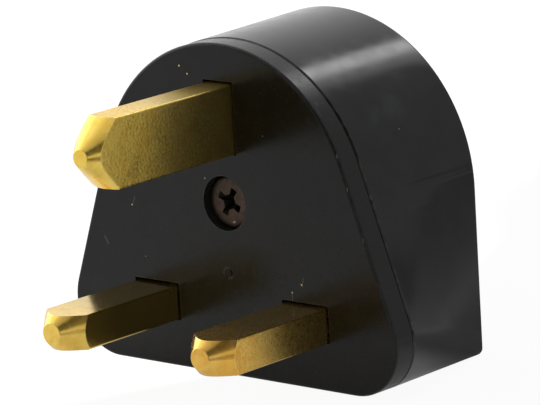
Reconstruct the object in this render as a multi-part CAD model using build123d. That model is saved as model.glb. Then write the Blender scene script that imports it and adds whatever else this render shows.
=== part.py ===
from build123d import *
from math import cos, radians, sin, sqrt, tan
import os

# A travel adapter: three solid brass pins on a flat plate, and behind the plate a deep
# round-topped housing that takes two-pole plugs with round pins or flat blades, and an
# earthed flat-blade plug. One central screw from the pin side holds it together.
#
# Millimetres. X runs to the right as seen from the pins, Y goes back from the plug face
# and Z is up. The origin lies on the plug face, midway between the line and neutral pins.

# Pin pattern of the wall plug
pole_pitch = 22.2
earth_rise = 22.2
pole_pin_width = 6.35
pole_pin_height = 4.0
pole_pin_length = 17.7
pole_tip_radius = 1.35
earth_pin_width = 4.0
earth_pin_height = 8.0
earth_pin_length = 22.7
earth_tip_radius = 1.1
tip_half_angle = 41.0
tip_edge = 0.1
pin_edge_radius = 0.22

# How the pins are held behind the plate
shoulder_margin = 1.0
shoulder_thickness = 1.2
tenon_diameter = 3.0
stake_diameter = 4.4
stake_height = 0.8
stake_edge = 0.3

# Outline of the pin plate, and of the mouth of the housing
plate_thickness = 3.0
crown_radius = 18.55
crown_height = 12.2
side_lean = 19.6
corner_radius = 6.34
base_drop = 7.55
base_trim = 0.01
plate_edge_radius = 0.35
seam_chamfer = 0.18

# Slots in the plate, wider above the pin than below it
slot_gap_side = 0.2
slot_gap_top = 0.3
slot_gap_bottom = 0.06

# Housing, which goes from the flared mouth to a plain round-topped rear
body_depth = 21.1
rear_radius = 19.28
rear_height = 11.95
rear_corner_radius = 0.8
crease_height = 14.2
rear_edge_radius = 0.5
edge_flats = 3
rim_stand_out = 0.1
rim_bevel = 0.15
wall = 2.0
face_thickness = 2.4

# Lip of the plate inside the mouth of the housing
lip_inset = 1.5
lip_thickness = 1.1
lip_depth = 1.5
lip_clearance = 0.1

# Central screw, its recess, its boss and the threaded insert
screw_height = 12.45
screw_recess_diameter = 6.3
screw_head_diameter = 5.5
screw_head_sunk = 1.0
screw_head_height = 1.9
screw_head_edge = 0.3
screw_diameter = 3.0
screw_length = 9.0
screw_hole_diameter = 3.4
cross_length = 3.4
cross_width = 0.95
cross_depth = 1.1
cross_turn = 62.0
screw_pad_diameter = 7.6
boss_diameter = 6.4
insert_diameter = 4.4
insert_length = 5.0
thread_clearance = 0.02

# Outlet in the rear face
round_pin_pitch = 19.0
round_pin_diameter = 4.8
blade_pitch = 12.7
blade_height = 6.35
blade_thickness = 1.5
ground_drop = 11.9
outlet_clearance = 0.4
slot_end_clearance = 0.42
outlet_chamfer = 0.3
outlet_row_above_screw = 5.95
plug_pin_length = 19.0
ground_pin_length = 19.7

# Folded brass contacts and the steel springs in their jaws
strip_thickness = 0.8
strip_width = 4.6
strap_width = 6.0
strap_end_margin = 3.0
jaw_length = 11.6
jaw_waist_height = 8.6
jaw_root_height = 4.0
jaw_flare = 1.0
jaw_bend = 1.0
jaw_pinch = 0.3
jaw_side_margin = 0.35
web_height = 2.1
web_gap_to_blade = 0.2
tip_window_depth = 1.5
boss_clearance = 0.15
strip_corner = 1.0
hole_clearance = 0.05
spring_gap_to_blade = 0.05
spring_thickness = 0.35
spring_foot_past_rivet = 1.25
rivet_diameter = 1.2
rivet_head_diameter = 2.0
rivet_head_height = 0.5

# Ribs inside the housing
rib_thickness = 1.2
hold_down_thickness = 1.6
hold_down_above_pole = 4.4
boss_rib_start = 4.0
earth_rib_width = 5.0
earth_web_height = 2.0
rib_margin = 0.35

# Moulding mark on the plug face
mark_diameter = 1.3
mark_width = 0.25
mark_depth = 0.08
mark_height = 4.35

# How far a cut runs past what it cuts
past = 1.0

# Places worked out from the driving sizes
pole_x = pole_pitch / 2
shoulder_back = plate_thickness + shoulder_thickness
strip_back = shoulder_back + strip_thickness
face_inside = body_depth - face_thickness
outlet_row = screw_height + outlet_row_above_screw
ground_height = outlet_row - ground_drop
round_pin_x = round_pin_pitch / 2
blade_x = blade_pitch / 2
outlet_radius = round_pin_diameter / 2 + outlet_clearance / 2
slot_half_height = blade_height / 2 + slot_end_clearance
web_top = outlet_row - blade_height / 2 - web_gap_to_blade
web_bottom = web_top - web_height
jaw_mouth = strip_back + jaw_length
jaw_top = outlet_row + blade_height / 2 + jaw_side_margin


def at_depth(y):
    """Drawing plane at depth y, with X to the right and Z up."""
    return Plane(origin=(0, y, 0), x_dir=(1, 0, 0), z_dir=(0, -1, 0))


def slab(sketch, start, end):
    """Straight block of a sketch in X and Z, from depth start back to depth end."""
    return extrude(at_depth(start) * sketch, amount=end - start, dir=(0, 1, 0))


def disc(diameter, x, z, start, end):
    """Round block along Y."""
    return slab(Pos(x, z) * Circle(diameter / 2), start, end)


def both_sides(part):
    """A piece of the neutral side with its mirror image on the line side."""
    return part + mirror(part, about=Plane.YZ)


def outline(right_points, right_centres, crown_centre):
    """Closed outline, mirrored about X = 0, from its right-hand points, lowest first.

    right_centres holds, for each stretch between two right-hand points, the centre of
    its arc, or None where it is straight. The crown arc closes the top, a line the base.
    """
    left_points = [(-x, z) for x, z in reversed(right_points)]
    left_centres = [c and (-c[0], c[1]) for c in reversed(right_centres)]
    points = right_points + left_points
    centres = right_centres + [crown_centre] + left_centres + [None]
    edges = []
    for i, start in enumerate(points):
        end = points[(i + 1) % len(points)]
        if centres[i] is None:
            edges.append(Line(start, end))
        else:
            centre = Vector(*centres[i])
            radius = (Vector(*start) - centre).length
            towards_middle = ((Vector(*start) + Vector(*end)) * 0.5 - centre).normalized()
            edges.append(ThreePointArc(start, centre + towards_middle * radius, end))
    return make_face(edges)


def flared_outline(inset, base_inset=None):
    """Plate outline: crown arc, leaning sides tangent to it, rounded lower corners.

    The whole outline is drawn in by inset, and its base by base_inset if that is given.
    """
    lean = radians(side_lean)
    radius = crown_radius - inset
    corner = corner_radius - inset
    base = (inset if base_inset is None else base_inset) - base_drop
    corner_z = base + corner
    corner_x = (radius - corner - (corner_z - crown_height) * sin(lean)) / cos(lean)

    def on_side(z):
        return ((radius - (z - crown_height) * sin(lean)) / cos(lean), z)

    right_points = [
        (corner_x, base),
        (corner_x + corner, corner_z),
        (corner_x + corner * cos(lean), corner_z + corner * sin(lean)),
        on_side(rear_height),
        on_side(crease_height),
        (radius * cos(lean), crown_height + radius * sin(lean)),
    ]
    corner_centre = (corner_x, corner_z)
    right_centres = [corner_centre, corner_centre, None, None, None]
    return outline(right_points, right_centres, (0, crown_height))


def round_outline(inset):
    """Rear outline: half round top, upright sides, nearly square lower corners."""
    lean = radians(side_lean)
    radius = rear_radius - inset
    corner = rear_corner_radius
    base = inset - base_drop - base_trim
    crease_z = crease_height - rear_height
    centre = (0, rear_height)
    right_points = [
        (radius - corner, base),
        (radius, base + corner),
        (radius, base + corner + corner_radius * sin(lean)),
        (radius, rear_height),
        (sqrt(radius**2 - crease_z**2), crease_height),
        (radius * cos(lean), rear_height + radius * sin(lean)),
    ]
    right_centres = [(radius - corner, base + corner), None, None, centre, centre]
    return outline(right_points, right_centres, centre)


def rounded_edge(outline_at, depth, radius, inwards):
    """Sections that round an edge at that depth in a few flats, outermost face first."""
    sections = []
    for step in range(edge_flats + 1):
        angle = radians(90 * step / edge_flats)
        y = depth + inwards * radius * (1 - cos(angle))
        sections.append(at_depth(y) * outline_at(radius * (1 - sin(angle))))
    return sections


def outer_body():
    """Outer form of the housing, its bevelled rim a little proud of the plate but for the base."""
    mouth = [
        at_depth(plate_thickness) * flared_outline(rim_bevel - rim_stand_out, rim_bevel),
        at_depth(plate_thickness + rim_bevel) * flared_outline(-rim_stand_out, -base_trim),
    ]
    rear = rounded_edge(round_outline, body_depth, rear_edge_radius, -1)
    body = loft(mouth + rear[::-1], ruled=True)
    return split(body, bisect_by=Plane.XY.offset(-base_drop), keep=Keep.TOP)


def hollow_body():
    """Space inside the housing, a wall's thickness within its mouth and its rear."""
    front = at_depth(plate_thickness) * flared_outline(wall)
    rear = at_depth(face_inside) * round_outline(wall)
    return loft([front, rear], ruled=True)


def outlet_shape(grow=0.0):
    """Neutral-side hole: upright blade slot opening into a round pin hole."""
    slot = Pos(blade_x, outlet_row) * Rectangle(
        blade_thickness + outlet_clearance + 2 * grow, 2 * (slot_half_height + grow)
    )
    channel_width = round_pin_x - blade_x
    channel = Pos(blade_x + channel_width / 2, outlet_row) * Rectangle(
        channel_width, 2 * (outlet_radius + grow)
    )
    return slot + channel + Pos(round_pin_x, outlet_row) * Circle(outlet_radius + grow)


def housing():
    """Hollow moulding with the outlet face, the screw boss and its ribs."""
    body = outer_body()
    hollow = hollow_body()
    rebate = slab(
        flared_outline(lip_inset - lip_clearance),
        plate_thickness,
        plate_thickness + lip_depth + lip_clearance,
    )
    body = body - hollow - rebate

    # Boss for the central screw, with a rib to each side wall
    boss = disc(boss_diameter, 0, screw_height, strip_back, face_inside)
    boss_rib_z = web_bottom - rib_margin - rib_thickness / 2
    side_rib = slab(
        Pos(rear_radius / 2, boss_rib_z) * Rectangle(rear_radius, rib_thickness),
        strip_back + boss_rib_start,
        face_inside,
    )
    # Ribs that press the pole strips and the earth shoulder down on the plate
    hold_down_width = 2 * rear_radius - pole_x + strip_width / 2
    hold_down = slab(
        Pos(pole_x - strip_width / 2 + hold_down_width / 2, hold_down_above_pole)
        * Rectangle(hold_down_width, hold_down_thickness),
        strip_back,
        face_inside,
    )
    earth_rib_top = earth_rise + earth_pin_height / 2 + shoulder_margin
    earth_rib_z = earth_rib_top - rib_thickness / 2
    earth_rib = slab(
        Pos(0, earth_rib_z) * Rectangle(earth_rib_width, rib_thickness),
        shoulder_back,
        face_inside,
    )
    earth_web = slab(
        Pos(0, earth_rib_z - earth_web_height / 2) * Rectangle(rib_thickness, earth_web_height),
        strip_back + boss_rib_start,
        face_inside,
    )
    inner = both_sides(side_rib) + both_sides(hold_down) + earth_rib + earth_web
    body = body + (inner & hollow) + boss

    # Bores for the insert and the screw's end
    screw_end = screw_head_sunk + screw_head_height + screw_length
    body -= disc(insert_diameter, 0, screw_height, strip_back, strip_back + insert_length)
    body -= disc(screw_hole_diameter, 0, screw_height, strip_back, screw_end + past)

    # Outlet holes with a lead-in at the face
    holes = both_sides(slab(outlet_shape(), face_inside - past, body_depth + past))
    holes += disc(
        2 * outlet_radius, 0, ground_height, face_inside - past, body_depth + past
    )
    body -= holes
    mouth_edges = body.faces().sort_by(Axis.Y)[-1].inner_wires()
    body = chamfer([edge for wire in mouth_edges for edge in wire.edges()], outlet_chamfer)
    return body


def pin_slot(x, z, width, height):
    """Opening in the plate for one pin."""
    slot_width = width + 2 * slot_gap_side
    slot_height = height + slot_gap_top + slot_gap_bottom
    centre_z = z + (slot_gap_top - slot_gap_bottom) / 2
    return slab(Pos(x, centre_z) * Rectangle(slot_width, slot_height), -past, plate_thickness)


def pin_plate():
    """Front moulding with the pin slots, the screw recess and the locating lip."""
    plate = slab(flared_outline(0.0), plate_edge_radius, plate_thickness)
    back_edges = plate.faces().sort_by(Axis.Y)[-1].outer_wire().edges()
    plate = chamfer(back_edges, seam_chamfer)
    plate += loft(rounded_edge(flared_outline, 0.0, plate_edge_radius, 1), ruled=True)

    lip = slab(
        flared_outline(lip_inset) - flared_outline(lip_inset + lip_thickness),
        plate_thickness,
        plate_thickness + lip_depth,
    )
    screw_pad = disc(screw_pad_diameter, 0, screw_height, plate_thickness, shoulder_back)
    rest_top = web_bottom - rib_margin
    rest_bottom = rest_top - hold_down_thickness
    strip_rest = slab(
        Pos(pole_x, (rest_top + rest_bottom) / 2) * Rectangle(strip_width, hold_down_thickness),
        plate_thickness,
        shoulder_back,
    )
    plate = plate + lip + screw_pad + both_sides(strip_rest)

    plate -= pin_slot(0, earth_rise, earth_pin_width, earth_pin_height)
    plate -= both_sides(pin_slot(pole_x, 0, pole_pin_width, pole_pin_height))
    screw_seat = screw_head_sunk + screw_head_height
    plate -= disc(screw_recess_diameter, 0, screw_height, -past, screw_seat)
    plate -= disc(screw_hole_diameter, 0, screw_height, screw_seat, shoulder_back)

    # Shallow pockets for the ends of long plug pins
    tip_pocket = disc(
        2 * outlet_radius, round_pin_x, outlet_row, body_depth - plug_pin_length, shoulder_back
    )
    plate -= both_sides(tip_pocket)
    plate -= disc(
        2 * outlet_radius, 0, ground_height, body_depth - ground_pin_length, shoulder_back
    )

    # Faint ring left by the mould
    ring = Circle(mark_diameter / 2) - Circle(mark_diameter / 2 - mark_width)
    plate -= slab(Pos(0, mark_height) * ring, -past, mark_depth)
    return plate


def brass_pin(x, z, width, height, length, tip_radius):
    """Pin with a turned conical end, a shoulder behind the plate and a staked tenon."""
    bar = slab(Rectangle(width, height), -length, plate_thickness)
    bar = fillet(bar.edges().filter_by(Axis.Y), pin_edge_radius)
    reach = sqrt(width**2 + height**2) / 2
    cone_length = tip_edge / 2 + (reach - tip_radius) / tan(radians(tip_half_angle))
    turned_side = Polyline(
        (0, -length),
        (tip_radius - tip_edge, -length),
        (tip_radius, tip_edge / 2 - length),
        (reach, cone_length - length),
        (reach, plate_thickness),
        (0, plate_thickness),
        close=True,
    )
    pin = bar & revolve(make_face(turned_side), axis=Axis.Y)

    shoulder = slab(
        Rectangle(width + 2 * shoulder_margin, height + 2 * shoulder_margin),
        plate_thickness,
        shoulder_back,
    )
    shoulder = fillet(shoulder.edges().filter_by(Axis.Y), shoulder_margin / 2)
    tenon = disc(tenon_diameter, 0, 0, shoulder_back, strip_back)
    stake = disc(stake_diameter, 0, 0, strip_back, strip_back + stake_height)
    stake = chamfer(stake.edges().sort_by(Axis.Y)[-1], stake_edge)
    return Pos(x, 0, z) * (pin + shoulder + tenon + stake)


def folded_sheet(inner_face, thickness, side, z_low, z_high):
    """Sheet folded along a path of (X, Y) points, standing from z_low up to z_high."""
    path = FilletPolyline(*inner_face, radius=jaw_bend)
    section = make_face(offset(path, amount=thickness, side=side))
    return extrude(Pos(0, 0, z_low) * section, amount=z_high - z_low, dir=(0, 0, 1))


def tip_window():
    """Clear way past the foot of a pole jaw for the ends of the plug's pins."""
    height = jaw_top - web_top + past
    return slab(
        Pos(round_pin_x, web_top + height / 2) * Rectangle(2 * round_pin_x, height),
        plate_thickness,
        strip_back + tip_window_depth,
    )


def rivet_place():
    """X and Z of the rivet that holds the spring to the web of the neutral jaw."""
    return round_pin_x, (web_top + web_bottom) / 2


def neutral_contact():
    """Strip staked to the neutral pin, folded into a jaw for blades and round pins."""
    outer = round_pin_x + round_pin_diameter / 2
    inner = blade_x - blade_thickness / 2
    waist = strip_back + jaw_waist_height
    root = strip_back + jaw_root_height
    jaw_path = [
        (outer + jaw_flare, jaw_mouth),
        (outer - jaw_pinch, waist),
        (outer, root),
        (outer, strip_back),
        (inner - jaw_pinch, strip_back),
        (inner - jaw_pinch, root),
        (inner, waist),
        (inner - jaw_flare, jaw_mouth),
    ]
    jaw = folded_sheet(jaw_path, strip_thickness, Side.LEFT, web_bottom, jaw_top)
    jaw -= tip_window()

    foot = Pos(pole_x, 0) * RectangleRounded(
        strip_width + shoulder_margin, pole_pin_height + 2 * shoulder_margin, strip_corner
    )
    riser_x = outer + strip_thickness - strip_width / 2
    riser = Pos(riser_x, web_top / 2) * Rectangle(strip_width, web_top)
    contact = jaw + slab(foot + riser, shoulder_back, strip_back)
    rivet_x, rivet_z = rivet_place()
    contact -= disc(
        tenon_diameter + 2 * hole_clearance, pole_x, 0, shoulder_back, strip_back
    )
    contact -= disc(
        rivet_diameter + 2 * hole_clearance, rivet_x, rivet_z, shoulder_back, strip_back
    )
    return contact


def neutral_spring():
    """Thin steel leaf riveted to the web, between the blade side and the round side."""
    left = blade_x + blade_thickness / 2 + spring_gap_to_blade
    waist = strip_back + jaw_waist_height
    path = [
        (rivet_place()[0] + spring_foot_past_rivet, strip_back),
        (left, strip_back),
        (left, strip_back + jaw_root_height),
        (left + jaw_pinch / 2, waist),
        (left - jaw_pinch, jaw_mouth),
    ]
    spring = folded_sheet(path, spring_thickness, Side.RIGHT, web_bottom, jaw_top)
    spring -= tip_window()
    rivet_x, rivet_z = rivet_place()
    spring -= disc(
        rivet_diameter + 2 * hole_clearance,
        rivet_x,
        rivet_z,
        strip_back,
        strip_back + spring_thickness,
    )
    return spring


def neutral_rivet():
    """Small rivet through the web and the foot of the spring."""
    x, z = rivet_place()
    spring_back = strip_back + spring_thickness
    shank = disc(rivet_diameter, x, z, shoulder_back, spring_back)
    front_head = disc(rivet_head_diameter, x, z, shoulder_back - rivet_head_height, shoulder_back)
    back_head = disc(rivet_head_diameter, x, z, spring_back, spring_back + rivet_head_height)
    return shank + front_head + back_head


def earth_contact():
    """Strap from the earth pin, past the screw, to the jaw for the ground pin."""
    pin_radius = round_pin_diameter / 2
    waist = strip_back + jaw_waist_height
    root = strip_back + jaw_root_height
    half_path = [
        (pin_radius + jaw_flare, jaw_mouth),
        (pin_radius - jaw_pinch / 2, waist),
        (pin_radius + jaw_pinch, root),
        (pin_radius + jaw_pinch, strip_back),
    ]
    path = half_path + [(-x, y) for x, y in reversed(half_path)]
    jaw_low = ground_height - pin_radius - jaw_bend
    jaw_high = screw_height - boss_diameter / 2 - boss_clearance
    jaw = folded_sheet(path, strip_thickness, Side.LEFT, jaw_low, jaw_high)

    strap_top = earth_rise + strap_end_margin
    strap_low = jaw_high - strip_corner
    strap_height = strap_top - strap_low
    strap = slab(
        Pos(0, strap_low + strap_height / 2)
        * RectangleRounded(strap_width, strap_height, strip_corner),
        shoulder_back,
        strip_back,
    )
    contact = jaw + strap
    contact -= disc(2 * outlet_radius, 0, ground_height, plate_thickness, root - jaw_bend)
    contact -= disc(screw_hole_diameter, 0, screw_height, shoulder_back, strip_back)
    contact -= disc(
        tenon_diameter + 2 * hole_clearance, 0, earth_rise, shoulder_back, strip_back
    )
    return contact


def body_screw():
    """Cross-recessed screw, its head sunk below the plug face."""
    head_back = screw_head_sunk + screw_head_height
    head = disc(screw_head_diameter, 0, screw_height, screw_head_sunk, head_back)
    head = chamfer(head.edges().sort_by(Axis.Y)[0], screw_head_edge)
    shank = disc(
        screw_diameter - 2 * thread_clearance, 0, screw_height, head_back, head_back + screw_length
    )
    shank = chamfer(shank.edges().sort_by(Axis.Y)[-1], screw_head_edge)
    bar = Rectangle(cross_length, cross_width)
    cross = Rot(0, 0, cross_turn) * (bar + Rot(0, 0, 90) * bar)
    recess = slab(
        Pos(0, screw_height) * cross, screw_head_sunk - past, screw_head_sunk + cross_depth
    )
    return head + shank - recess


def screw_insert():
    """Brass insert pressed into the boss, with the screw's thread in it."""
    insert = disc(
        insert_diameter - 2 * thread_clearance, 0, screw_height, strip_back, strip_back + insert_length
    )
    return insert - disc(screw_diameter, 0, screw_height, strip_back, strip_back + insert_length)


poles = {
    "contact": neutral_contact(),
    "spring": neutral_spring(),
}
nodes = {
    "housing": housing(),
    "pin_plate": pin_plate(),
    "earth_pin": brass_pin(
        0, earth_rise, earth_pin_width, earth_pin_height, earth_pin_length, earth_tip_radius
    ),
    "neutral_pin": brass_pin(
        pole_x, 0, pole_pin_width, pole_pin_height, pole_pin_length, pole_tip_radius
    ),
    "line_pin": brass_pin(
        -pole_x, 0, pole_pin_width, pole_pin_height, pole_pin_length, pole_tip_radius
    ),
    "earth_contact": earth_contact(),
    "spring_rivets": both_sides(neutral_rivet()),
    "body_screw": body_screw(),
    "screw_insert": screw_insert(),
}
for name, part in poles.items():
    nodes["neutral_" + name] = part
    nodes["line_" + name] = mirror(part, about=Plane.YZ)

os.makedirs("parts", exist_ok=True)
for name, part in nodes.items():
    export_step(part, f"parts/{name}.step")
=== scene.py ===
from math import cos, floor as round_down, pi, radians, sin, tan

import bmesh
import bpy
from mathutils import Matrix, Vector


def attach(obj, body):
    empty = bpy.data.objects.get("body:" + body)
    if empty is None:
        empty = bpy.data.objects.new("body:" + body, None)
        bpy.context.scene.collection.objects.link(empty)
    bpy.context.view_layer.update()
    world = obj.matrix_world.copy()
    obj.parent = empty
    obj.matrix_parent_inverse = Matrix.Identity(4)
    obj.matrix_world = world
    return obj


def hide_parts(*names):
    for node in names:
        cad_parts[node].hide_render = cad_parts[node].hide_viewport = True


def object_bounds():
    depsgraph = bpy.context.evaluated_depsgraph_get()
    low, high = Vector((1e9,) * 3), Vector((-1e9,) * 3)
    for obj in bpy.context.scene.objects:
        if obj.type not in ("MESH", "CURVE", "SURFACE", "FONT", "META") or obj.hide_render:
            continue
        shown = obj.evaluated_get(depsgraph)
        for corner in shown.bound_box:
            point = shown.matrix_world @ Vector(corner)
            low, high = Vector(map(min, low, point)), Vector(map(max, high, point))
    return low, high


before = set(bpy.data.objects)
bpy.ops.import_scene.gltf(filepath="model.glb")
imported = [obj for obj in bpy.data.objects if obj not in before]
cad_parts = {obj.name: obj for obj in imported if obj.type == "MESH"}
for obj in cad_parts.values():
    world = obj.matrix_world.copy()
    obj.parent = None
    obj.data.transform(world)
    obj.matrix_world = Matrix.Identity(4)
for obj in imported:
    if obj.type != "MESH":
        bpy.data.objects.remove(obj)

cad_low, cad_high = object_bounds()
mm = 0.001


# Camera
# A long lens stands well back on the pin side, to the right of the adapter and a little
# above it, and is rolled by a few degrees as it was in the hand.
camera_place = Vector((0.341954, -0.375977, 0.129348))
camera_azimuth = radians(41.712)
camera_elevation = radians(12.974)
camera_roll = radians(-3.349)
camera_lens = 310.38
film_width = 36.0
nearest_seen = 0.01
farthest_seen = 20.0

camera = bpy.data.cameras.new("camera")
camera.lens = camera_lens
camera.sensor_width = film_width
camera.clip_start = nearest_seen
camera.clip_end = farthest_seen
camera_object = bpy.data.objects.new("camera", camera)
bpy.context.scene.collection.objects.link(camera_object)
bpy.context.scene.camera = camera_object

back = Vector(
    (
        sin(camera_azimuth) * cos(camera_elevation),
        -cos(camera_azimuth) * cos(camera_elevation),
        sin(camera_elevation),
    )
)
level_right = Vector((cos(camera_azimuth), sin(camera_azimuth), 0.0))
level_up = back.cross(level_right)
right = level_right * cos(camera_roll) + level_up * sin(camera_roll)
up = level_up * cos(camera_roll) - level_right * sin(camera_roll)
turn = Matrix((right, up, back)).transposed().to_4x4()
camera_object.matrix_world = Matrix.Translation(camera_place) @ turn


# Floor and light
# The adapter stands on a white sheet, plain white to the camera, with painted light and
# shade on it that show only in reflections and bounced light. A bright wall, a window and a
# soft lamp are at its left, and a narrow soft strip runs above and behind it. The room in
# front is dimmer.
floor_half_size = 3.0
floor_shadow_share = 0.06
floor_mirror_share = 0.3
paper = 0.92
painted_tone_close = 0.95
painted_tone_away = 0.6
painted_light_at_left = 1.15
painted_shade_far_front = 0.8
painted_shadow_under_flank = 0.3
painted_shade_past_flank = 0.58
room_light = 0.42
wall_light = 0.6
window_light = 0.9
lamp_glow = 0.25
lamp_light = 0.8
strip_light = 3.45
strip_glow = 0.75
low_front_light = 0.3
dim_corner = 0.18
dim_behind = 0.35
dim_upper_gap = 0.62


def aim(azimuth, elevation):
    """Direction to an azimuth, from +Y round towards +X, and an elevation, in degrees."""
    turned, raised = radians(azimuth), radians(elevation)
    return Vector((sin(turned) * cos(raised), cos(turned) * cos(raised), sin(raised)))


def add(tree, kind, inputs, **properties):
    """New node of that kind, its properties set, its inputs linked or given a value."""
    made = tree.nodes.new(kind)
    for name, value in properties.items():
        setattr(made, name, value)
    for name, value in inputs.items():
        if isinstance(value, bpy.types.NodeSocket):
            tree.links.new(value, made.inputs[name])
        else:
            made.inputs[name].default_value = value
    return made


def maths(tree, operation, first, second):
    """Sum, product or other result of two values."""
    return add(tree, "ShaderNodeMath", {0: first, 1: second}, operation=operation).outputs[0]


def vectors(tree, operation, *inputs, result="Vector"):
    """Result of one or two vectors: a vector, or a number when the result is Value."""
    given = dict(enumerate(inputs))
    return add(tree, "ShaderNodeVectorMath", given, operation=operation).outputs[result]


def spread(tree, value, low, high, start, end):
    """The value's stretch from low to high, turned smoothly into start to end."""
    made = add(
        tree,
        "ShaderNodeMapRange",
        {"Value": value, "From Min": low, "From Max": high, "To Min": start, "To Max": end},
        interpolation_type="SMOOTHSTEP",
    )
    return made.outputs["Result"]


def facing(tree, direction, side):
    """How nearly a direction is that side's, from 1 down to -1."""
    return vectors(tree, "DOT_PRODUCT", direction, side, result="Value")


def floor_material():
    """White sheet, lit from the left, with painted light at the left and painted shade near and
    around the adapter, that shows the camera its own white.
    """
    material = bpy.data.materials.new("white_sheet")
    material.use_nodes = True
    tree = material.node_tree
    tree.nodes.clear()
    place = tree.nodes.new("ShaderNodeTexCoord").outputs["Object"]
    outwards = vectors(tree, "NORMALIZE", place)
    gap = vectors(tree, "LENGTH", place, result="Value")

    def side(azimuth):
        """How nearly a place on the sheet lies on that side of the adapter."""
        return facing(tree, outwards, aim(azimuth, 0))

    # Painted light and shade, seen in reflections and bounced light: lighter close by and at the
    # left, a painted shadow under the flank behind the adapter, and darker far in front and far
    # behind.
    close = spread(tree, gap, 50 * mm, 95 * mm, painted_tone_close, painted_tone_away)
    left = spread(tree, side(-80), -0.1, 0.75, close, painted_light_at_left)
    far_front = maths(
        tree,
        "MULTIPLY",
        spread(tree, side(145), 0.8, 0.97, 0.0, painted_shade_far_front),
        spread(tree, gap, 75 * mm, 115 * mm, 0.0, 1.0),
    )
    painted_flank_shadow = spread(tree, gap, 45 * mm, 85 * mm, painted_shadow_under_flank, 1.0)
    near_behind = spread(tree, side(32), 0.75, 0.95, 1.0, painted_flank_shadow)
    past_flank = spread(tree, gap, 45 * mm, 85 * mm, 1.0, painted_shade_past_flank)
    far_behind = spread(tree, side(20), 0.84, 0.95, 1.0, past_flank)
    behind = maths(tree, "MULTIPLY", near_behind, far_behind)
    in_front = maths(tree, "SUBTRACT", 1.0, far_front)
    dimmed = maths(tree, "MULTIPLY", left, maths(tree, "MULTIPLY", in_front, behind))

    path = add(tree, "ShaderNodeLightPath", {}).outputs
    tone = maths(tree, "MAXIMUM", dimmed, path["Is Camera Ray"])
    sheet = add(tree, "ShaderNodeBsdfDiffuse", {"Color": maths(tree, "MULTIPLY", tone, paper)})
    white = add(tree, "ShaderNodeEmission", {"Color": (1.0, 1.0, 1.0, 1.0), "Strength": tone})
    mirrored = maths(tree, "MAXIMUM", path["Is Glossy Ray"], path["Is Transmission Ray"])
    seen = maths(tree, "MULTIPLY", path["Is Camera Ray"], 1.0 - floor_shadow_share)
    reflected = maths(tree, "MULTIPLY", mirrored, floor_mirror_share)
    share = maths(tree, "MAXIMUM", seen, reflected)
    mixed = add(
        tree, "ShaderNodeMixShader", {0: share, 1: sheet.outputs[0], 2: white.outputs[0]}
    )
    add(tree, "ShaderNodeOutputMaterial", {"Surface": mixed.outputs[0]})
    return material


floor_level = cad_low.z
corners = [
    (x * floor_half_size, y * floor_half_size, floor_level)
    for x, y in ((-1, -1), (1, -1), (1, 1), (-1, 1))
]
floor_mesh = bpy.data.meshes.new("floor")
floor_mesh.from_pydata(corners, [], [(0, 1, 2, 3)])
floor_mesh.materials.append(floor_material())
floor = bpy.data.objects.new("floor", floor_mesh)
bpy.context.scene.collection.objects.link(floor)

world = bpy.data.worlds.new("room")
bpy.context.scene.world = world
world.use_nodes = True
room = world.node_tree
room.nodes.clear()
direction = add(room, "ShaderNodeTexCoord", {}).outputs["Generated"]


def patch(azimuth, elevation, outer, inner, beyond, inside):
    """Value round a direction, from beyond the outer nearness to inside the inner one."""
    nearness = facing(room, direction, aim(azimuth, elevation))
    return spread(room, nearness, outer, inner, beyond, inside)


def plus(first, second):
    """Two lights of the room together."""
    return maths(room, "ADD", first, second)


def times(first, second):
    """A light or a shade of the room, dimmed by another."""
    return maths(room, "MULTIPLY", first, second)


left_wall = patch(-70, 5, outer=0.0, inner=0.9, beyond=room_light, inside=room_light + wall_light)
window = patch(-96, 12, outer=0.72, inner=0.93, beyond=0.0, inside=window_light)
soft_glow = patch(-112, 50, outer=0.55, inner=0.97, beyond=0.0, inside=lamp_glow)
soft_lamp = patch(-118, 48, outer=0.975, inner=0.99, beyond=0.0, inside=lamp_light)
low_front = patch(115, 5, outer=0.7, inner=0.95, beyond=0.0, inside=low_front_light)
corner_shade = patch(135, 34, outer=0.92, inner=0.96, beyond=1.0, inside=dim_corner)
low_shade = patch(2, -4, outer=0.8, inner=0.99, beyond=1.0, inside=dim_behind)
upper_gap = patch(-97, 50, outer=0.93, inner=0.985, beyond=1.0, inside=dim_upper_gap)

across = add(room, "ShaderNodeSeparateXYZ", {0: direction}).outputs["X"]
along = patch(0, 43, outer=0.955, inner=0.975, beyond=0.0, inside=1.0)
strip_edges = times(
    spread(room, across, -0.13, -0.04, 0.0, strip_light),
    spread(room, across, 0.0, 0.085, 1.0, 0.0),
)
strip_haze = times(
    spread(room, across, -0.14, -0.06, 0.0, strip_glow),
    spread(room, across, 0.13, 0.19, 1.0, 0.0),
)
strip = times(along, plus(strip_edges, strip_haze))

lamps = plus(soft_glow, plus(soft_lamp, plus(strip, low_front)))
lit = plus(plus(left_wall, window), lamps)
shades = times(upper_gap, times(corner_shade, low_shade))
seen_directly = add(room, "ShaderNodeLightPath", {}).outputs["Is Camera Ray"]
strength = maths(room, "MAXIMUM", times(lit, shades), seen_directly)
white_room = {"Color": (1.0, 1.0, 1.0, 1.0), "Strength": strength}
background = add(room, "ShaderNodeBackground", white_room)
add(room, "ShaderNodeOutputWorld", {"Surface": background.outputs[0]})


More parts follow.
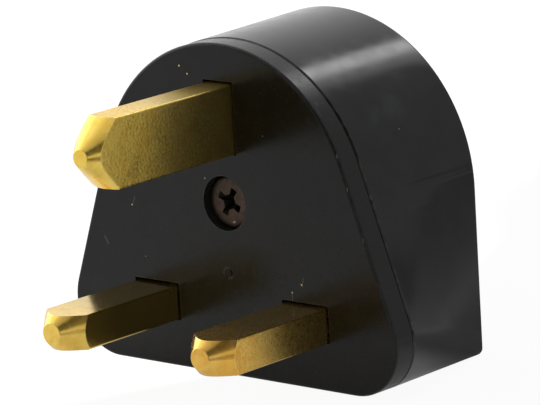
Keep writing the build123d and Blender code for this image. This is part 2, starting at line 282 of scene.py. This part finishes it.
# Housing
# The deep shell behind the pins is one moulding of hard black plastic, creased low on each
# flank. It came from a polished mould, so it is glossy, with flow marks and fine rubbing, and
# its edges carry a painted highlight.
flank_creases = [
    ((19.04, 3.4, 14.3), (19.13, 20.6, 14.3), 0.6),
    ((-19.04, 3.4, 14.3), (-19.13, 20.6, 14.3), 0.6),
]
crease_depth = 0.036 * mm
handled_smudge = ((16.2, 8.5, 22.0), (15.2, 13.5, 23.4), 2.6)
housing_nicks = [
    ((16.95, 10.80, 20.5), (16.95, 10.92, 20.5), 0.10),
    ((16.93, 20.95, 21.04), (16.80, 21.0, 21.3), 0.14),
]
gloss_dark = (0.0020, 0.0023, 0.0024)
gloss_cloud = (0.0058, 0.0062, 0.0057)
gloss_rubbed_and_highlight = (0.070, 0.058, 0.044)
gloss_nib = (0.09, 0.09, 0.085)
gloss_smudge = (0.016, 0.017, 0.017)
gloss_nick = (0.17, 0.15, 0.12)
gloss_specular = 0.5
flattest = 0.995
mark_core_share = 0.3
dot_core_share = 0.5


def start_material(name):
    """New material, with its tree, its surface shader and its place on the piece."""
    material = bpy.data.materials.new(name)
    material.use_nodes = True
    tree = material.node_tree
    surface = tree.nodes["Principled BSDF"]
    place = tree.nodes.new("ShaderNodeTexCoord").outputs["Object"]
    return material, tree, surface, place


def finish_surface(tree, surface, colour, roughness, relief):
    """Joins the finished colour, roughness and relief to the surface shader."""
    for name, result in (("Base Color", colour), ("Roughness", roughness), ("Normal", relief)):
        tree.links.new(result, surface.inputs[name])


def noise(tree, place, size, detail=2.0, stretch=None):
    """Cloudy pattern with patches of about that size, drawn out along an axis if asked."""
    if stretch is not None:
        place = add(tree, "ShaderNodeMapping", {"Vector": place, "Scale": stretch}).outputs[0]
    pattern = {"Vector": place, "Scale": 1.0 / size, "Detail": detail}
    return add(tree, "ShaderNodeTexNoise", pattern).outputs["Fac"]


def mix_colours(tree, share, first, second):
    """Colour between two colours, each plain or a node's."""
    inputs = {0: share}
    for index, colour in ((6, first), (7, second)):
        is_plain = isinstance(colour, tuple)
        inputs[index] = (*colour, 1.0) if is_plain else colour
    return add(tree, "ShaderNodeMix", inputs, data_type="RGBA").outputs[2]


def raise_surface(tree, height, depth, under=None):
    """Relief of that depth in metres, on top of another relief if one is given."""
    inputs = {"Height": height, "Distance": depth, "Strength": 1.0}
    if under is not None:
        inputs["Normal"] = under
    return add(tree, "ShaderNodeBump", inputs).outputs["Normal"]


def true_face(tree):
    """Direction that the flat face itself looks in."""
    return tree.nodes.new("ShaderNodeNewGeometry").outputs["True Normal"]


def edge_band_mask(tree, radius, sharpest):
    """One along the outer edges within that radius, nothing on the flats."""
    rounded = add(tree, "ShaderNodeBevel", {"Radius": radius}, samples=6).outputs[0]
    return spread(tree, facing(tree, rounded, true_face(tree)), flattest, sharpest, 0.0, 1.0)


def patchy_edge_band(tree, edge_band, patches, strongest):
    """Edge band, for rubbed wear and a painted edge highlight, that comes and goes along the edge
    with a cloudy pattern.
    """
    return maths(tree, "MULTIPLY", edge_band, spread(tree, patches, 0.4, 0.65, 0.1, strongest))


def spots(tree, place, size, radius, kept):
    """Small scattered dots of that radius, one to a cell of that size, some cells kept."""
    pattern = {"Vector": place, "Scale": 1.0 / size, "Randomness": 1.0}
    cells = add(tree, "ShaderNodeTexVoronoi", pattern)
    edge, core = radius / size, dot_core_share * radius / size
    dot = spread(tree, cells.outputs["Distance"], edge, core, 0.0, 1.0)
    chosen = add(tree, "ShaderNodeSeparateColor", {0: cells.outputs["Color"]}).outputs[0]
    return maths(tree, "MULTIPLY", dot, maths(tree, "LESS_THAN", chosen, kept))


def line_mark(tree, place, start, end, half_width):
    """One on a short straight mark from start to end, fading out to its half width.

    The ends and the half width are in millimetres.
    """
    start, end = Vector(start) * mm, Vector(end) * mm
    run = end - start
    from_start = vectors(tree, "SUBTRACT", place, start)
    share = vectors(tree, "DOT_PRODUCT", from_start, run / run.length_squared, result="Value")
    within = add(tree, "ShaderNodeClamp", {"Value": share}).outputs[0]
    nearest = add(
        tree, "ShaderNodeVectorMath", {0: run, "Scale": within}, operation="SCALE"
    ).outputs[0]
    gap = vectors(tree, "DISTANCE", from_start, nearest, result="Value")
    return spread(tree, gap, half_width * mm, mark_core_share * half_width * mm, 0.0, 1.0)


def gloss_black():
    """Polished black plastic, a little cloudy, with rubbed edges lightened by a painted highlight,
    nicks and a smudge.
    """
    material, tree, surface, place = start_material("gloss_black")
    clouds = noise(tree, place, 2.6 * mm, detail=4.0)
    cloudy = spread(tree, clouds, 0.35, 0.7, 0.0, 1.0)
    black = mix_colours(tree, cloudy, gloss_dark, gloss_cloud)
    # Rubbed wear and a painted edge highlight: the edges are painted lighter.
    edge_band = edge_band_mask(tree, radius=0.2 * mm, sharpest=0.965)
    rubbed = patchy_edge_band(tree, edge_band, noise(tree, place, 1.1 * mm, detail=4.0), strongest=0.8)
    marked = mix_colours(tree, rubbed, black, gloss_rubbed_and_highlight)
    nibs = spots(tree, place, size=1.7 * mm, radius=0.07 * mm, kept=0.12)
    marked = mix_colours(tree, nibs, marked, gloss_nib)
    smudge = line_mark(tree, place, *handled_smudge)
    smeared = maths(tree, "MULTIPLY", smudge, spread(tree, clouds, 0.4, 0.65, 0.2, 1.0))
    marked = mix_colours(tree, smeared, marked, gloss_smudge)
    for start, end, half_width in housing_nicks:
        nick = line_mark(tree, place, start, end, half_width)
        marked = mix_colours(tree, nick, marked, gloss_nick)

    rough = spread(tree, noise(tree, place, 2.4 * mm, detail=5.0), 0.3, 0.75, 0.12, 0.21)
    relief = raise_surface(tree, noise(tree, place, 9.0 * mm, detail=1.0), 0.018 * mm)
    for start, end, half_width in flank_creases:
        crease = line_mark(tree, place, start, end, half_width)
        relief = raise_surface(tree, crease, -crease_depth, under=relief)
    grain = noise(tree, place, 0.22 * mm, detail=3.0)
    relief = raise_surface(tree, grain, 0.0009 * mm, under=relief)
    finish_surface(tree, surface, marked, rough, relief)
    surface.inputs["Specular IOR Level"].default_value = gloss_specular
    return material


def dress(name, material):
    """Gives a piece of the frame its finish."""
    for material_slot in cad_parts[name].material_slots:
        material_slot.material = material


dress("housing", gloss_black())


# Pin plate
# The front moulding is the same black plastic from a matt mould, so it is satin. It is
# clamped to the housing by the central screw, and a lip locates it in the mouth.
mark_place = Vector((0.0, 0.0, 4.35)) * mm
mark_inside = 0.42 * mm
mark_crest = 0.62 * mm
mark_outside = 0.8 * mm
mark_rise = 0.025 * mm
plate_scratches = [
    ((-18.88, 0.0, 6.61), (-18.32, 0.0, 5.71), 0.05),
    ((9.37, 0.0, 2.40), (9.30, 0.0, 3.35), 0.05),
    ((10.90, 0.0, 4.10), (11.10, 0.0, 5.20), 0.04),
    ((-14.1, 0.0, 10.9), (-13.7, 0.0, 11.8), 0.03),
    ((16.95, 0.11, 19.4), (16.80, 0.11, 20.1), 0.07),
    ((18.20, 0.06, 15.7), (18.14, 0.06, 16.2), 0.06),
    ((20.10, 0.03, 10.2), (20.06, 0.03, 10.8), 0.05),
]
satin_dark = (0.0022, 0.0024, 0.0022)
satin_cloud = (0.0044, 0.0048, 0.0046)
satin_hairline = (0.012, 0.012, 0.011)
satin_rubbed_and_highlight = (0.065, 0.060, 0.050)
satin_painted_side_light = (0.017, 0.017, 0.0165)
satin_scratch = (0.16, 0.15, 0.13)
satin_nib = (0.07, 0.07, 0.065)
satin_specular = 0.27


def satin_black():
    """Satin black plastic with a soft mottle, rubbed edges with a painted highlight, painted light
    on the rim's side faces, a mould mark and scratches.
    """
    material, tree, surface, place = start_material("satin_black")
    clouds = noise(tree, place, 2.2 * mm, detail=4.0)
    cloudy = spread(tree, clouds, 0.35, 0.7, 0.0, 1.0)
    black = mix_colours(tree, cloudy, satin_dark, satin_cloud)
    hairs = noise(tree, place, 0.5 * mm, detail=2.0, stretch=(3.2, 1.0, 0.12))
    hair_share = spread(tree, hairs, 0.66, 0.74, 0.0, 0.35)
    marked = mix_colours(tree, hair_share, black, satin_hairline)
    # Rubbed wear and a painted edge highlight: the edges are painted lighter.
    edge_band = edge_band_mask(tree, radius=0.22 * mm, sharpest=0.965)
    rubbed = patchy_edge_band(tree, edge_band, noise(tree, place, 0.9 * mm, detail=4.0), strongest=0.7)
    marked = mix_colours(tree, rubbed, marked, satin_rubbed_and_highlight)
    # Painted light: faces that look sideways, the rim round the plate, are painted paler.
    depthways = Vector((0.0, 1.0, 0.0))
    frontal = maths(tree, "ABSOLUTE", facing(tree, true_face(tree), depthways), 0.0)
    painted_side_light_share = spread(tree, frontal, 0.2, 0.6, 1.0, 0.0)
    marked = mix_colours(tree, painted_side_light_share, marked, satin_painted_side_light)
    for start, end, half_width in plate_scratches:
        scratch = line_mark(tree, place, start, end, half_width)
        marked = mix_colours(tree, scratch, marked, satin_scratch)
    nibs = spots(tree, place, size=2.1 * mm, radius=0.06 * mm, kept=0.1)
    marked = mix_colours(tree, nibs, marked, satin_nib)

    rough = spread(tree, noise(tree, place, 0.9 * mm, detail=5.0), 0.3, 0.75, 0.2, 0.3)
    relief = raise_surface(tree, noise(tree, place, 4.0 * mm, detail=1.0), 0.01 * mm)
    from_mark = vectors(tree, "DISTANCE", place, mark_place, result="Value")
    mark_rim = maths(
        tree,
        "MULTIPLY",
        spread(tree, from_mark, mark_inside, mark_crest, 0.0, 1.0),
        spread(tree, from_mark, mark_crest, mark_outside, 1.0, 0.0),
    )
    relief = raise_surface(tree, mark_rim, mark_rise, under=relief)
    grain = noise(tree, place, 0.16 * mm, detail=3.0)
    relief = raise_surface(tree, grain, 0.0016 * mm, under=relief)
    finish_surface(tree, surface, marked, rough, relief)
    surface.inputs["Specular IOR Level"].default_value = satin_specular
    return material


dress("pin_plate", satin_black())


# Pins
# Three solid brass pins, drawn to a rectangular bar and turned to a blunt cone at the
# tip. They pass through the plate, and each is held by a shoulder behind it.
tip_half_angle = radians(41.0)
tip_roughness = 0.22
pin_metallic = 0.97
unshaded_up_to = -15.5 * mm
painted_shade_from = -8.5 * mm
brass_stain = (0.40, 0.31, 0.08)
brass_speckle = (0.38, 0.25, 0.06)
brass_pit = (0.12, 0.07, 0.02)
brass_dark_grain = (0.55, 0.36, 0.05)
brass_bright_grain = (1.0, 0.88, 0.42)
brass_painted_shade = (0.44, 0.33, 0.11)
brass_painted_highlight = (0.97, 0.80, 0.38)
pins = {
    "earth_pin": {
        "bright": (1.0, 0.72, 0.15),
        "deep": (0.95, 0.62, 0.10),
        "axis": (0.0, 0.0, 22.2),
        "length": 22.7,
        "tip_radius": 1.1,
        "side_roughness": 0.34,
        "grain_depth": 0.03,
        "mottle": 0.7,
    },
    "line_pin": {
        "bright": (0.93, 0.65, 0.14),
        "deep": (0.87, 0.55, 0.10),
        "axis": (-11.1, 0.0, 0.0),
        "length": 17.7,
        "tip_radius": 1.35,
        "side_roughness": 0.16,
        "grain_depth": 0.005,
        "mottle": 0.25,
    },
    "neutral_pin": {
        "bright": (0.93, 0.58, 0.13),
        "deep": (0.84, 0.45, 0.07),
        "axis": (11.1, 0.0, 0.0),
        "length": 17.7,
        "tip_radius": 1.35,
        "side_roughness": 0.28,
        "grain_depth": 0.009,
        "mottle": 0.45,
    },
}


def turned_share(tree, parts, length, tip_radius):
    """One on the turned cone and end disc of a pin, nothing on its drawn sides."""
    sideways = add(tree, "ShaderNodeCombineXYZ", {0: parts["X"], 2: parts["Z"]}).outputs[0]
    from_axis = vectors(tree, "LENGTH", sideways, result="Value")
    from_tip = maths(tree, "ADD", parts["Y"], length * mm)
    widening = maths(tree, "MULTIPLY", from_tip, tan(tip_half_angle))
    cone_radius = maths(tree, "ADD", widening, tip_radius * mm)
    inside_cone = maths(tree, "SUBTRACT", cone_radius, from_axis)
    on_cone = spread(tree, inside_cone, 0.22 * mm, 0.1 * mm, 0.0, 1.0)
    on_disc = spread(tree, from_tip, 0.08 * mm, 0.03 * mm, 0.0, 1.0)
    return maths(tree, "MAXIMUM", on_cone, on_disc)


def pin_brass(name, bright, deep, axis, length, tip_radius, side_roughness, grain_depth, mottle):
    """Drawn brass of that tone with a turned tip, a painted highlight along the edges and painted
    shade near the plate.
    """
    material, tree, surface, place = start_material(name)
    centred = vectors(tree, "SUBTRACT", place, Vector(axis) * mm)
    parts = add(tree, "ShaderNodeSeparateXYZ", {0: centred}).outputs
    turned = turned_share(tree, parts, length, tip_radius)
    unturned = spread(tree, turned, 0.0, 1.0, 1.0, 0.08)

    clouds = noise(tree, place, 1.7 * mm, detail=5.0)
    gold = mix_colours(tree, spread(tree, clouds, 0.3, 0.72, 0.0, 1.0), bright, deep)
    stains = noise(tree, place, 3.4 * mm, detail=6.0)
    stain_share = spread(tree, stains, 0.52, 0.78, 0.0, 0.5)
    stained = mix_colours(tree, stain_share, gold, brass_stain)
    speckle = noise(tree, place, 0.12 * mm, detail=3.0)
    speckle_share = spread(tree, speckle, 0.56, 0.78, 0.0, 0.3)
    speckled = mix_colours(tree, speckle_share, stained, brass_speckle)
    pits = spots(tree, place, size=0.7 * mm, radius=0.045 * mm, kept=0.08)
    pitted = mix_colours(tree, maths(tree, "MULTIPLY", pits, 0.7), speckled, brass_pit)

    cast = noise(tree, place, 0.34 * mm, detail=4.0)
    patchy = spread(tree, noise(tree, place, 3.0 * mm, detail=2.0), 0.35, 0.6, 0.35, 1.0)
    patches = maths(tree, "MULTIPLY", patchy, unturned)
    darkest = spread(tree, cast, 0.52, 0.36, 0.0, mottle)
    dark_grains = maths(tree, "MULTIPLY", darkest, patches)
    grained = mix_colours(tree, dark_grains, pitted, brass_dark_grain)
    brightest = spread(tree, cast, 0.57, 0.68, 0.0, mottle)
    bright_grains = maths(tree, "MULTIPLY", brightest, patches)
    sparkling = mix_colours(tree, bright_grains, grained, brass_bright_grain)

    # Painted shade: the sides are painted darker towards the plate.
    near_plate = spread(tree, parts["Y"], unshaded_up_to, painted_shade_from, 0.0, 1.0)
    painted_shade_share = maths(tree, "MULTIPLY", near_plate, 0.55)
    plate_shaded = mix_colours(tree, painted_shade_share, sparkling, brass_painted_shade)
    # Painted highlight: the edges are painted a pale bright brass.
    edge_band = edge_band_mask(tree, radius=0.14 * mm, sharpest=0.92)
    edge_highlit = mix_colours(tree, maths(tree, "MULTIPLY", edge_band, 0.75), plate_shaded, brass_painted_highlight)

    polished = spread(tree, turned, 0.0, 1.0, side_roughness, tip_roughness)
    smear = spread(tree, noise(tree, place, 0.5 * mm, detail=5.0), 0.3, 0.75, -0.03, 0.03)
    rough = maths(tree, "ADD", polished, smear)
    grooves = noise(tree, place, 0.06 * mm, detail=1.0, stretch=(0.02, 1.0, 0.02))
    relief = raise_surface(tree, maths(tree, "MULTIPLY", grooves, turned), 0.002 * mm)
    drawn = noise(tree, place, 0.3 * mm, detail=3.0, stretch=(1.0, 0.12, 1.0))
    relief = raise_surface(tree, drawn, 0.002 * mm, under=relief)
    dents = noise(tree, place, 0.6 * mm, detail=2.0)
    relief = raise_surface(tree, dents, 0.002 * mm, under=relief)
    rolled = maths(tree, "MULTIPLY", cast, unturned)
    relief = raise_surface(tree, rolled, grain_depth * mm, under=relief)
    relief = raise_surface(tree, speckle, 0.0018 * mm, under=relief)
    finish_surface(tree, surface, edge_highlit, rough, relief)
    surface.inputs["Metallic"].default_value = pin_metallic
    return material


pin_finishes = {name: pin_brass(name + "_brass", **finish) for name, finish in pins.items()}
for name, finish in pin_finishes.items():
    dress(name, finish)


# Brass filings and dust
# Filings from fitting the pins, and dust from handling, lie on the plate's front face.
# Each is a small flattened grain, stuck where it fell.
filing_places = [
    (-5.58, 27.73, 0.11),
    (-4.43, 26.90, 0.10),
    (10.82, 4.33, 0.09),
    (9.40, 3.30, 0.07),
    (-14.20, 10.79, 0.08),
]
dust_places = [
    (-2.71, 15.08, 0.09),
    (-12.6, 4.9, 0.06),
    (6.3, 20.8, 0.05),
]
filing_seed = 3
dust_seed = 7
grain_flatness = 0.45
grain_stand_out = 0.2
least_stretch = (0.75, 0.75, 0.75)
most_stretch = (1.3, 1.3, 1.3)
dust_deep = (0.35, 0.34, 0.31)
dust_pale = (0.62, 0.60, 0.55)


def random_vector(tree, least, most, seed):
    """A vector for each grain, drawn between two others."""
    limits = {0: least, 1: most, "Seed": seed}
    return add(tree, "FunctionNodeRandomValue", limits, data_type="FLOAT_VECTOR").outputs[0]


def grain_tree(name, material):
    """Geometry Nodes tree that sets a small flattened grain on every point it is given."""
    tree = bpy.data.node_groups.new(name, "GeometryNodeTree")
    face = tree.interface
    face.new_socket("Points", in_out="INPUT", socket_type="NodeSocketGeometry")
    face.new_socket("Flatness", in_out="INPUT", socket_type="NodeSocketFloat")
    face.new_socket("Seed", in_out="INPUT", socket_type="NodeSocketInt")
    face.new_socket("Grains", in_out="OUTPUT", socket_type="NodeSocketGeometry")
    given = tree.nodes.new("NodeGroupInput").outputs
    size = add(tree, "GeometryNodeInputNamedAttribute", {"Name": "size"}, data_type="FLOAT")
    ball = add(tree, "GeometryNodeMeshIcoSphere", {"Radius": 1.0, "Subdivisions": 2})
    lump = random_vector(tree, least_stretch, most_stretch, given["Seed"])
    flat = add(tree, "ShaderNodeCombineXYZ", {0: 1.0, 1: given["Flatness"], 2: 1.0})
    shape = vectors(tree, "MULTIPLY", lump, flat.outputs[0])
    scale = add(
        tree, "ShaderNodeVectorMath", {0: shape, "Scale": size.outputs[0]}, operation="SCALE"
    )
    spin = random_vector(tree, (0.0, 0.0, 0.0), (0.0, 2 * pi, 0.0), given["Seed"])
    placed = add(
        tree,
        "GeometryNodeInstanceOnPoints",
        {
            "Points": given["Points"],
            "Instance": ball.outputs["Mesh"],
            "Rotation": spin,
            "Scale": scale.outputs[0],
        },
    )
    real = add(tree, "GeometryNodeRealizeInstances", {"Geometry": placed.outputs[0]})
    finished = add(
        tree, "GeometryNodeSetMaterial", {"Geometry": real.outputs[0], "Material": material}
    )
    add(tree, "NodeGroupOutput", {0: finished.outputs[0]})
    return tree


def lay_grains(name, places, material, seed):
    """Grains at their places on the plate's front face, as one plain mesh."""
    points = bpy.data.meshes.new(name)
    points.from_pydata(
        [(x * mm, -grain_stand_out * size * mm, z * mm) for x, z, size in places], [], []
    )
    sizes_of_grains = points.attributes.new("size", "FLOAT", "POINT")
    for index, (_, _, size) in enumerate(places):
        sizes_of_grains.data[index].value = size * mm
    grains = bpy.data.objects.new(name, points)
    bpy.context.scene.collection.objects.link(grains)
    modifier = grains.modifiers.new("grains", "NODES")
    modifier.node_group = grain_tree(name + "_tree", material)
    given = {"Flatness": grain_flatness, "Seed": seed}
    for item in modifier.node_group.interface.items_tree:
        if item.in_out == "INPUT" and item.name in given:
            modifier[item.identifier] = given[item.name]
    ready = grains.evaluated_get(bpy.context.evaluated_depsgraph_get())
    grains_mesh = bpy.data.meshes.new_from_object(ready)
    grains.modifiers.remove(modifier)
    grains.data = grains_mesh
    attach(grains, "root")


def dust_finish():
    """Pale dry dust, a little warm."""
    material, tree, surface, place = start_material("pale_dust")
    clouds = noise(tree, place, 0.1 * mm)
    pale = mix_colours(tree, clouds, dust_deep, dust_pale)
    rough = spread(tree, clouds, 0.3, 0.7, 0.75, 0.95)
    finish_surface(tree, surface, pale, rough, raise_surface(tree, clouds, 0.01 * mm))
    return material


lay_grains("brass_filings", filing_places, pin_finishes["earth_pin"], filing_seed)
lay_grains("dust", dust_places, dust_finish(), dust_seed)


# Body screw
# A cross-recessed steel screw with a brown chemical finish goes in from the pin side,
# sunk in a round recess, and turns into the brass insert in the housing's boss.
screw_axis_height = 12.45
head_top = 0.85
head_radius = 3.0
head_back = 2.9
shank_radius = 1.48
shank_end = 11.9
thread_pitch = 0.5
thread_depth = 0.3
plain_under_head = 0.4
plain_at_end = 0.1
thread_steps = 150
round_steps = 48
centre_radius = 0.02
recess_half_length = 1.68
recess_half_width = 0.46
recess_waist = 0.36
recess_waist_start = 0.25
recess_end_bulge = 0.08
recess_core = 0.62
recess_depth = 1.25
recess_mouth_depth = 0.15
recess_mouth_size = 0.97
recess_taper = 0.42
recess_turn = radians(62.0)
cutter_overshoot = 0.5
head_profile = [
    (head_top, centre_radius),
    (head_top, 1.2),
    (head_top + 0.015, 2.35),
    (head_top + 0.06, 2.7),
    (head_top + 0.16, 2.9),
    (head_top + 0.32, head_radius),
    (head_back, head_radius),
    (head_back, shank_radius),
]
shank_profile = [
    (head_back + (shank_end - head_back) * step / thread_steps, shank_radius)
    for step in range(1, thread_steps + 1)
]
end_profile = [(shank_end, centre_radius)]
screw_dark = (0.034, 0.024, 0.012)
screw_brown = (0.074, 0.040, 0.026)
screw_bared = (0.15, 0.10, 0.07)
screw_painted_shade = (0.004, 0.004, 0.003)
screw_fleck = (0.38, 0.35, 0.28)
screw_metallic = 0.55
fleck_start = (0.42, head_top, 10.15)
fleck_end = (0.62, head_top, 10.2)
fleck_half_width = 0.13


def skinned_mesh(name, rings):
    """Closed solid skinned over rings of points: sideways, depth, and height over the axis."""
    form = bmesh.new()
    made = [
        [form.verts.new((x * mm, depth * mm, (screw_axis_height + z) * mm)) for x, depth, z in ring]
        for ring in rings
    ]
    count = len(made[0])
    for first, second in zip(made, made[1:]):
        for step in range(count):
            following = (step + 1) % count
            form.faces.new((first[step], first[following], second[following], second[step]))
    form.faces.new(made[0][::-1])
    form.faces.new(made[-1])
    bmesh.ops.recalc_face_normals(form, faces=form.faces)
    mesh = bpy.data.meshes.new(name)
    form.to_mesh(mesh)
    form.free()
    return mesh


def threaded(depth, radius, share):
    """Radius of the shank at that depth and share of a turn, cut by a fine thread."""
    turns = (depth - head_back) / thread_pitch - share
    phase = abs(2 * (turns - round_down(turns)) - 1)
    on_shank = head_back + plain_under_head < depth < shank_end - plain_at_end
    return radius - thread_depth * phase if on_shank else radius


def turned_ring(depth, radius):
    """Points once round the screw's axis at that depth, on the thread where there is one."""
    ring = []
    for step in range(round_steps):
        angle = 2 * pi * step / round_steps
        grown = threaded(depth, radius, step / round_steps)
        ring.append((grown * cos(angle), depth, grown * sin(angle)))
    return ring


def cross_rings():
    """Rings of a tapered cross with flared arms, the shape of the driver that fits."""
    waist_start = recess_core + recess_waist_start
    arm_outline = (
        (recess_core, -recess_core),
        (waist_start, -recess_waist),
        (recess_half_length, -recess_half_width),
        (recess_half_length + recess_end_bulge, 0.0),
        (recess_half_length, recess_half_width),
        (waist_start, recess_waist),
    )
    outline = []
    for arm in range(4):
        angle = recess_turn + arm * pi / 2
        for along, across in arm_outline:
            x = along * cos(angle) - across * sin(angle)
            z = along * sin(angle) + across * cos(angle)
            outline.append((x, z))
    levels = (
        (head_top - cutter_overshoot, 1.0),
        (head_top + recess_mouth_depth, recess_mouth_size),
        (head_top + recess_depth, recess_taper),
    )
    return [[(x * size, depth, z * size) for x, z in outline] for depth, size in levels]


def browned_steel():
    """Steel with a dull brown finish, rubbed at the edges, with painted shade in the recess and
    below the head's top face.
    """
    material, tree, surface, place = start_material("browned_steel")
    clouds = noise(tree, place, 0.8 * mm, detail=4.0)
    cloudy = spread(tree, clouds, 0.35, 0.7, 0.0, 1.0)
    brown = mix_colours(tree, cloudy, screw_dark, screw_brown)
    edge_band = edge_band_mask(tree, radius=0.06 * mm, sharpest=0.85)
    bared = mix_colours(tree, maths(tree, "MULTIPLY", edge_band, 0.2), brown, screw_bared)
    # Painted shade: everything deeper than the head's top face is painted nearly black.
    depth = add(tree, "ShaderNodeSeparateXYZ", {0: place}).outputs["Y"]
    recess_shade = spread(tree, depth, (head_top + 0.05) * mm, (head_top + 0.3) * mm, 0.0, 0.93)
    recess_shaded = mix_colours(tree, recess_shade, bared, screw_painted_shade)
    fleck = line_mark(tree, place, fleck_start, fleck_end, fleck_half_width)
    flecked = mix_colours(tree, fleck, recess_shaded, screw_fleck)
    rough = spread(tree, noise(tree, place, 0.3 * mm, detail=4.0), 0.3, 0.75, 0.4, 0.6)
    relief = raise_surface(tree, noise(tree, place, 0.15 * mm, detail=3.0), 0.003 * mm)
    finish_surface(tree, surface, flecked, rough, relief)
    surface.inputs["Metallic"].default_value = screw_metallic
    return material


screw_profile = head_profile + shank_profile + end_profile
screw_rings = [turned_ring(depth, radius) for depth, radius in screw_profile]
cross_screw = bpy.data.objects.new("cross_screw", skinned_mesh("cross_screw", screw_rings))
bpy.context.scene.collection.objects.link(cross_screw)
cutter = bpy.data.objects.new("driver_cross", skinned_mesh("driver_cross", cross_rings()))
bpy.context.scene.collection.objects.link(cutter)
cut = cross_screw.modifiers.new("recess", "BOOLEAN")
cut.operation = "DIFFERENCE"
cut.solver = "EXACT"
cut.object = cutter
ready = cross_screw.evaluated_get(bpy.context.evaluated_depsgraph_get())
cut_mesh = bpy.data.meshes.new_from_object(ready)
cross_screw.modifiers.remove(cut)
cross_screw.data = cut_mesh
bpy.data.objects.remove(cutter)
cross_screw.data.materials.clear()
cross_screw.data.materials.append(browned_steel())
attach(cross_screw, "root")
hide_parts("body_screw")


# Contacts, rivets and insert
# Strips of half-hard brass sheet, stamped and folded, are staked on the pins' tenons.
# Small brass rivets hold the springs, and a brass insert takes the screw.
sheet_bright = (0.82, 0.60, 0.26)
sheet_tarnish = (0.66, 0.43, 0.16)


def sheet_brass():
    """Clean rolled brass sheet with its rolling lines and a light tarnish."""
    material, tree, surface, place = start_material("sheet_brass")
    clouds = noise(tree, place, 3.0 * mm, detail=4.0)
    tarnished = spread(tree, clouds, 0.3, 0.7, 0.0, 1.0)
    gold = mix_colours(tree, tarnished, sheet_bright, sheet_tarnish)
    rolled = noise(tree, place, 0.2 * mm, detail=2.0, stretch=(1.0, 0.08, 1.0))
    rough = spread(tree, rolled, 0.3, 0.7, 0.2, 0.34)
    finish_surface(tree, surface, gold, rough, raise_surface(tree, rolled, 0.002 * mm))
    surface.inputs["Metallic"].default_value = 1.0
    return material


sheet = sheet_brass()
for name in ("earth_contact", "line_contact", "neutral_contact", "spring_rivets", "screw_insert"):
    dress(name, sheet)


# Springs
# Thin leaves of spring steel, folded and riveted into the pole jaws, press the blade or
# the round pin of the plug against the brass.
spring_dark = (0.42, 0.42, 0.43)
spring_pale = (0.55, 0.55, 0.56)


def spring_steel():
    """Cold-rolled spring steel with a fine lengthways grain."""
    material, tree, surface, place = start_material("spring_steel")
    rolled = noise(tree, place, 0.15 * mm, detail=2.0, stretch=(1.0, 1.0, 0.06))
    grained = spread(tree, rolled, 0.3, 0.7, 0.0, 1.0)
    grey = mix_colours(tree, grained, spring_dark, spring_pale)
    rough = spread(tree, rolled, 0.3, 0.7, 0.22, 0.36)
    finish_surface(tree, surface, grey, rough, raise_surface(tree, rolled, 0.0015 * mm))
    surface.inputs["Metallic"].default_value = 1.0
    return material


steel = spring_steel()
for name in ("line_spring", "neutral_spring"):
    dress(name, steel)


bpy.context.scene.view_settings.view_transform = "Standard"
